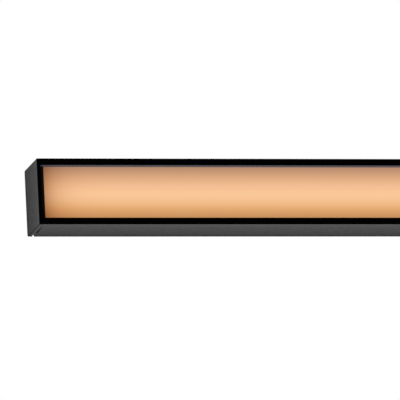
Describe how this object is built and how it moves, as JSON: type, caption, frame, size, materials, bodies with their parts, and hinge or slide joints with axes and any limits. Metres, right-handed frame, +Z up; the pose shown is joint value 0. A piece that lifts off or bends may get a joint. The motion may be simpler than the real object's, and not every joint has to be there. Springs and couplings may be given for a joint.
{
  "type": "vanity light bar",
  "caption": "Long wall-mounted LED light bar: black box frame with end caps round a recessed glowing opal diffuser; the cover slides off a steel pan that holds the driver and LED strips.",
  "frame": {"origin": "centre of the wall face, on the axis of the cable entry and of the junction-box holes", "axes": "+X along the bar to the viewer's right, +Y into the wall, +Z up"},
  "size_m": [0.914, 0.1014, 0.1167],
  "materials": {
    "frame_black": "satin black powder coat",
    "cap_black": "fine-textured black powder coat",
    "plug_black": "matt black on a die casting",
    "opal_diffuser": "matt opal sheet, lit warm white from behind",
    "black_foam": "closed-cell foam",
    "zinc_screw": "bright zinc plate",
    "black_screw": "black oxide",
    "galvanised_steel": "galvanised sheet",
    "black_rubber": "moulded rubber",
    "tray_aluminium": "mill finish",
    "white_reflector": "high-reflectance white paint",
    "white_nylon": "moulded nylon",
    "grey_nylon": "moulded nylon",
    "orange_lever": "moulded lever",
    "driver_steel": "off-white paint on sheet steel",
    "board_green": "green solder mask",
    "board_white": "white solder mask on an aluminium board",
    "led_package": "phosphor under silicone",
    "ferrite": "sintered ferrite",
    "winding_tape": "yellow polyester tape",
    "capacitor_sleeve": "shrink sleeve",
    "green_screw": "green-dyed zinc",
    "lead_black": "insulation",
    "lead_white": "insulation",
    "lead_green": "insulation",
    "lead_red": "insulation"
  },
  "bodies": {
    "wall_pan": {"back_pan": "galvanised_steel", "cable_grommet": "black_rubber", "clamp_ear_left": "galvanised_steel", "clamp_ear_right": "galvanised_steel", "driver_board": "board_green", "driver_bushes": "black_rubber", "driver_capacitors": "capacitor_sleeve", "driver_case": "driver_steel", "driver_cover": "driver_steel", "driver_screws": "zinc_screw", "driver_transformer": "ferrite", "driver_winding": "winding_tape", "earth_lead": "lead_green", "earth_lug": "zinc_screw", "earth_screw": "green_screw", "end_reflector_left": "white_reflector", "end_reflector_right": "white_reflector", "lead_bush": "black_rubber", "led_chips_lower_left": "led_package", "led_chips_lower_right": "led_package", "led_chips_upper_left": "led_package", "led_chips_upper_right": "led_package", "led_strip_lower_left": "board_white", "led_strip_lower_right": "board_white", "led_strip_upper_left": "board_white", "led_strip_upper_right": "board_white", "led_tray": "tray_aluminium", "live_lead": "lead_black", "neutral_lead": "lead_white", "output_lead_lower": "lead_black", "output_lead_upper": "lead_red", "reflector_lower": "white_reflector", "reflector_upper": "white_reflector", "strip_connectors": "white_nylon", "strip_screws": "zinc_screw", "terminal_block": "grey_nylon", "tray_screws": "zinc_screw"},
    "cover": {"top_rail": "frame_black", "bottom_rail": "frame_black", "end_cap_left": "cap_black", "end_cap_right": "cap_black", "end_plug_left": "plug_black", "end_plug_right": "plug_black", "diffuser": "opal_diffuser", "gasket_upper": "black_foam", "gasket_lower": "black_foam", "cap_screws_left": "zinc_screw", "cap_screws_right": "zinc_screw", "plug_screws_left": "black_screw", "plug_screws_right": "black_screw", "clamp_nut_left": "zinc_screw", "clamp_nut_right": "zinc_screw"},
    "clamp_screw_left": {"clamp_screw_left": "black_screw"},
    "clamp_screw_right": {"clamp_screw_right": "black_screw"},
    "live_lever": {"terminal_lever_live": "orange_lever"},
    "neutral_lever": {"terminal_lever_neutral": "orange_lever"},
    "earth_lever": {"terminal_lever_earth": "orange_lever"}
  },
  "joints": [
    {"name": "cover_pull_off", "type": "slide", "parent": "wall_pan", "child": "cover", "axis": [0, -1, 0], "range_m": [0, 0.12]},
    {"name": "clamp_screw_left_loosen", "type": "slide", "parent": "cover", "child": "clamp_screw_left", "axis": [0, 0, 1], "range_m": [0, 0.005]},
    {"name": "clamp_screw_right_loosen", "type": "slide", "parent": "cover", "child": "clamp_screw_right", "axis": [0, 0, 1], "range_m": [0, 0.005]},
    {"name": "live_lever_lift", "type": "hinge", "parent": "wall_pan", "child": "live_lever", "pos_m": [0.0704, -0.0147, 0.009], "axis": [0, 0, 1], "range_deg": [0, 85]},
    {"name": "neutral_lever_lift", "type": "hinge", "parent": "wall_pan", "child": "neutral_lever", "pos_m": [0.0704, -0.0147, 0], "axis": [0, 0, 1], "range_deg": [0, 85]},
    {"name": "earth_lever_lift", "type": "hinge", "parent": "wall_pan", "child": "earth_lever", "pos_m": [0.0704, -0.0147, -0.009], "axis": [0, 0, 1], "range_deg": [0, 85]}
  ]
}
